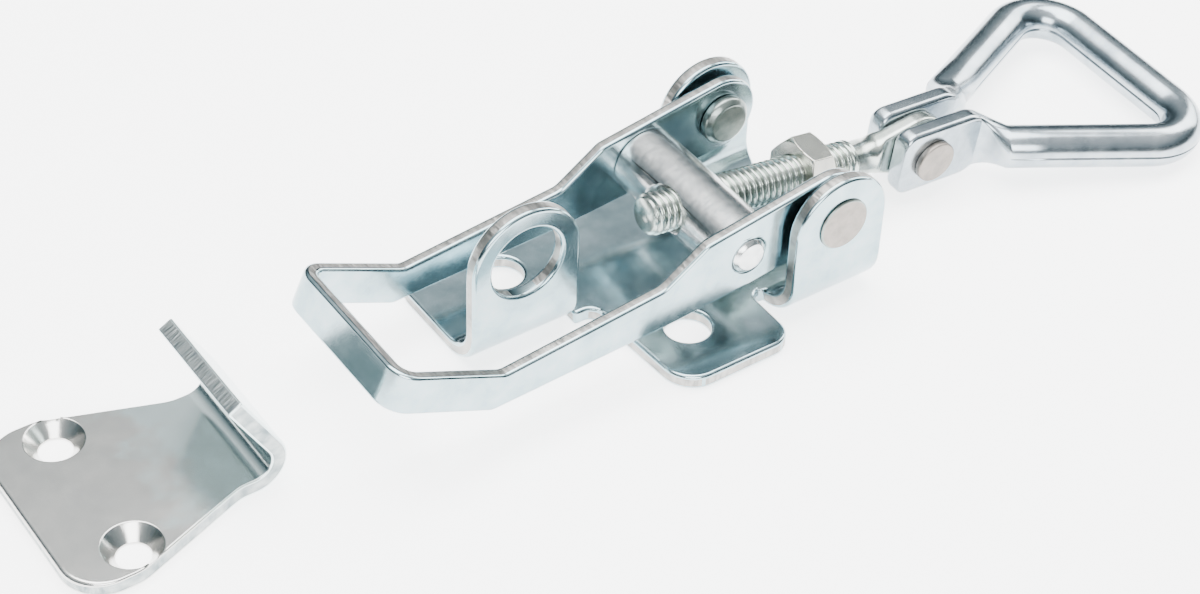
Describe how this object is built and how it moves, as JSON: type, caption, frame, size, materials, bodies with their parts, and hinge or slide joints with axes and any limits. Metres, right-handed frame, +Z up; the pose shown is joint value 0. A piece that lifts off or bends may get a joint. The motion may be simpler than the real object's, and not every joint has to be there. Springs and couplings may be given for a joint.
{
  "type": "over centre toggle latch",
  "caption": "Zinc plated over centre toggle latch with a threaded adjustable wire bail, a padlock eye and a separate hooked strike plate.",
  "frame": {"origin": "underside of the base plate, straight below the lever's pivot, midway between the ears", "axes": "+X from the pivot towards the bail, +Y across the latch away from the padlock tab's side, +Z up from the mounting face"},
  "size_m": [0.2424, 0.0535, 0.0325],
  "materials": {
    "zinc_sheet": "bright zinc plate on pressed sheet",
    "zinc_turned": "bright zinc plate on turned and headed parts",
    "zinc_wire": "bright zinc plate on round wire"
  },
  "bodies": {
    "base": {"base_plate": "zinc_sheet", "pivot_rivet_near": "zinc_turned", "pivot_rivet_far": "zinc_turned", "strike_plate": "zinc_sheet"},
    "lever": {"lever": "zinc_sheet"},
    "trunnion": {"trunnion": "zinc_turned"},
    "rod": {"threaded_rod": "zinc_turned"},
    "nut": {"lock_nut": "zinc_turned"},
    "bail": {"bail": "zinc_wire", "bail_rivet": "zinc_turned"}
  },
  "joints": [
    {"name": "lever_swing", "type": "hinge", "parent": "base", "child": "lever", "pos_m": [0, 0, 0.02], "axis": [0, 1, 0], "range_deg": [0, 150]},
    {"name": "trunnion_turn", "type": "hinge", "parent": "lever", "child": "trunnion", "pos_m": [-0.0175, 0, 0.0174], "axis": [0, 1, 0], "range_deg": [-150, 0]},
    {"name": "rod_screw", "type": "slide", "parent": "trunnion", "child": "rod", "axis": [0.9877, 0, -0.1564], "range_m": [-0.006, 0.008]},
    {"name": "nut_run", "type": "slide", "parent": "rod", "child": "nut", "axis": [0.9877, 0, -0.1564], "range_m": [-0.01, 0.009]},
    {"name": "bail_swing", "type": "hinge", "parent": "rod", "child": "bail", "pos_m": [0.03564, 0, 0.00898], "axis": [-0.0055, -0.9994, -0.0345], "range_deg": [-90, 60]}
  ],
  "couplings": [
    {"joint": "trunnion_turn", "follows": "lever_swing", "ratio": -1}
  ]
}
